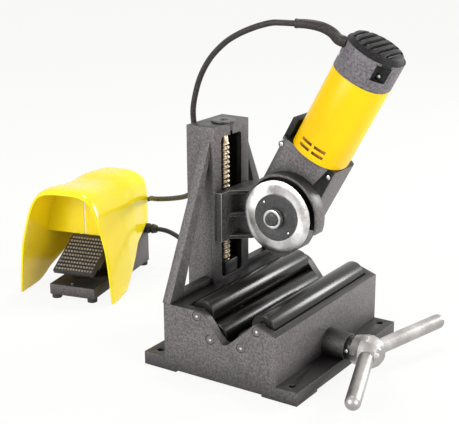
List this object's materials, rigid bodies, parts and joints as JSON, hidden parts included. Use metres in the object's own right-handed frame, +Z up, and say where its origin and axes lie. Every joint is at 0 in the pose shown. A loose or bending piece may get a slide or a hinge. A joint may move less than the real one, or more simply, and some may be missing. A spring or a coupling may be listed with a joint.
{
  "type": "pipe cutting machine",
  "caption": "Bench pipe cutting machine with a roller bed, a screw-fed motor head with a cutting wheel on a braced column, feed levers and a hooded foot switch.",
  "frame": {"origin": "centre of the base casting's footprint, in the plane of its underside", "axes": "+Z up, +X from the column towards the feed levers, +Y along the pipe"},
  "size_m": [0.5875, 0.3756, 0.409],
  "materials": {
    "casting": "black semi-gloss paint on a cast surface",
    "roller_steel": "blackened polished steel",
    "bright_steel": "bright machined steel",
    "handle_steel": "satin plated steel",
    "spindle_brass": "oiled screw thread",
    "black_steel": "blackened steel",
    "motor_yellow": "glossy yellow moulding",
    "hood_yellow": "glossy yellow moulding",
    "dark_plastic": "dark grey moulded plastic",
    "cord_rubber": "black rubber sheath"
  },
  "bodies": {
    "machine": {"base_casting": "casting", "column": "casting", "spindle_top_bearing": "black_steel", "spindle_foot_bearing": "black_steel", "axle_rear_upper": "bright_steel", "axle_rear_lower": "bright_steel", "axle_front_lower": "bright_steel", "axle_front_upper": "bright_steel", "foot_switch_base": "dark_plastic", "pedal_pin": "bright_steel", "foot_switch_hood": "hood_yellow", "mains_gland": "cord_rubber", "control_gland": "cord_rubber", "rubber_foot_front_left": "cord_rubber", "rubber_foot_front_right": "cord_rubber", "rubber_foot_rear_left": "cord_rubber", "rubber_foot_rear_right": "cord_rubber", "motor_cord": "cord_rubber", "mains_lead": "cord_rubber", "mains_coil": "cord_rubber", "plug_tail": "cord_rubber", "mains_plug": "cord_rubber", "coil_tie": "cord_rubber"},
    "roller_rear_upper": {"roller_rear_upper": "roller_steel"},
    "roller_rear_lower": {"roller_rear_lower": "roller_steel"},
    "roller_front_lower": {"roller_front_lower": "roller_steel"},
    "roller_front_upper": {"roller_front_upper": "roller_steel"},
    "spindle": {"spindle": "spindle_brass", "spindle_bevel_gear": "bright_steel"},
    "feed_handle": {"feed_shaft": "bright_steel", "shaft_bevel_gear": "bright_steel", "feed_collar": "black_steel", "handle_hub": "handle_steel", "feed_lever_near": "handle_steel", "feed_lever_far": "handle_steel"},
    "head": {"carriage": "casting", "gearbox_housing": "casting", "wheel_guard": "casting", "gearbox_rear_cover": "casting", "motor_barrel": "motor_yellow", "motor_end_cap": "dark_plastic", "cord_sleeve": "cord_rubber"},
    "wheel": {"cutting_wheel": "bright_steel", "wheel_flange": "black_steel", "wheel_nut": "bright_steel", "output_shaft": "bright_steel"},
    "pedal": {"foot_pedal": "dark_plastic"}
  },
  "joints": [
    {"name": "roller_rear_upper_spin", "type": "hinge", "parent": "machine", "child": "roller_rear_upper", "pos_m": [-0.0285, 0, 0.0775], "axis": [0, 1, 0], "continuous": true},
    {"name": "roller_rear_lower_spin", "type": "hinge", "parent": "machine", "child": "roller_rear_lower", "pos_m": [-0.0103, 0, 0.0526], "axis": [0, 1, 0], "continuous": true},
    {"name": "roller_front_lower_spin", "type": "hinge", "parent": "machine", "child": "roller_front_lower", "pos_m": [0.0318, 0, 0.0522], "axis": [0, 1, 0], "continuous": true},
    {"name": "roller_front_upper_spin", "type": "hinge", "parent": "machine", "child": "roller_front_upper", "pos_m": [0.0526, 0, 0.0768], "axis": [0, 1, 0], "continuous": true},
    {"name": "feed_handle_turn", "type": "hinge", "parent": "machine", "child": "feed_handle", "pos_m": [0, 0, 0.026], "axis": [1, 0, 0], "range_deg": [-2160, 3420]},
    {"name": "spindle_turn", "type": "hinge", "parent": "machine", "child": "spindle", "pos_m": [-0.072, 0, 0], "axis": [0, 0, 1], "range_deg": [-3420, 2160]},
    {"name": "head_slide", "type": "slide", "parent": "machine", "child": "head", "axis": [0, 0, 1], "range_m": [-0.036, 0.057], "deforming": ["motor_cord"]},
    {"name": "wheel_spin", "type": "hinge", "parent": "head", "child": "wheel", "pos_m": [0.0178, 0, 0.1785], "axis": [0, 1, 0], "continuous": true},
    {"name": "pedal_press", "type": "hinge", "parent": "machine", "child": "pedal", "pos_m": [-0.33254, 0.05031, 0.06336], "axis": [0.9744, 0.225, 0], "range_deg": [0, 8], "stiffness_Nm_per_rad": 0.5, "springref_deg": -14.32}
  ],
  "couplings": [
    {"joint": "spindle_turn", "follows": "feed_handle_turn", "ratio": -1},
    {"joint": "head_slide", "follows": "feed_handle_turn", "m_per_rad": 0.00095493}
  ]
}
